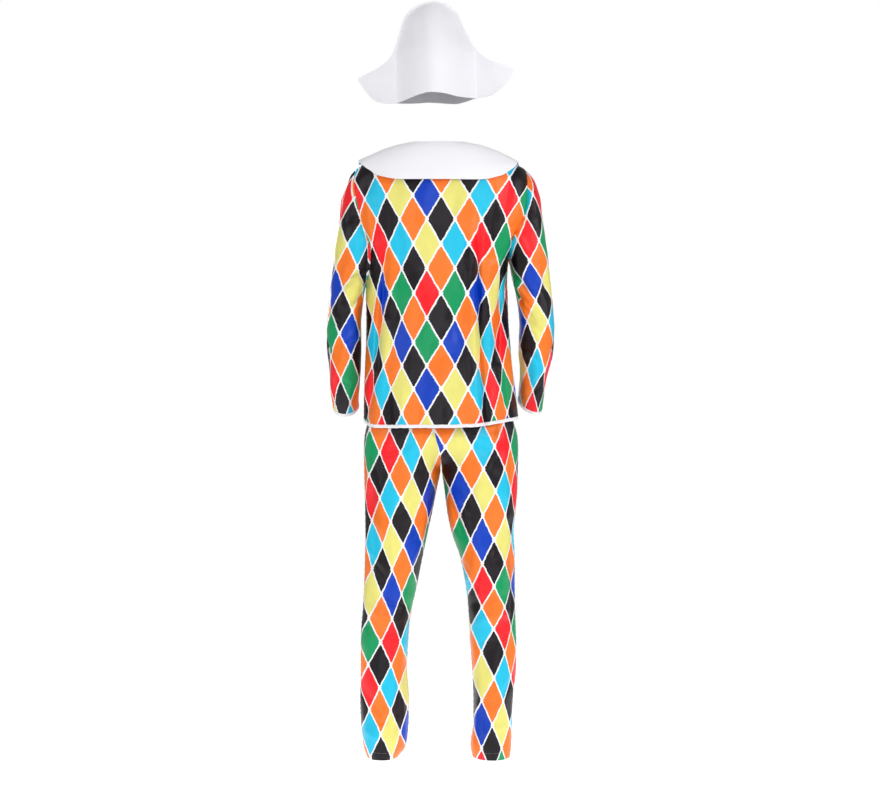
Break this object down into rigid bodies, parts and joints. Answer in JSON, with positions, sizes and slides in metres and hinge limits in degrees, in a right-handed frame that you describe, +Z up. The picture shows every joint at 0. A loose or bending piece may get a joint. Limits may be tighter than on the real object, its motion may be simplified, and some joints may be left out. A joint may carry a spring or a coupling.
{
  "type": "jester costume: felt hat, long-sleeved top with round collar, and trousers, in a harlequin print",
  "caption": "Jester costume as worn, hollow: tall bell-shaped felt hat, loose harlequin top with a round white collar, and matching trousers.",
  "frame": {"origin": "midway between the shoulders at the height of the neck opening, where the wearer's shoulders carry the top", "axes": "+Z up, the costume faces -Y, and the wearer's left is +X"},
  "size_m": [0.5627, 0.2538, 1.863],
  "materials": {
    "print_cloth": "satin printed knit, harlequin diamonds with white lines",
    "white_trim": "matte white binding",
    "collar_cloth": "smooth matte white",
    "white_felt": "matte felt"
  },
  "bodies": {
    "root": {"top_back": "print_cloth", "top_front": "print_cloth", "sleeve_left": "print_cloth", "sleeve_right": "print_cloth", "trousers_back_left": "print_cloth", "trousers_front_left": "print_cloth", "trousers_back_right": "print_cloth", "trousers_front_right": "print_cloth", "waistband": "print_cloth", "hem_binding": "white_trim", "cuff_binding_left": "white_trim", "cuff_binding_right": "white_trim", "collar": "collar_cloth", "hat_back": "white_felt", "hat_front": "white_felt"}
  },
  "joints": []
}
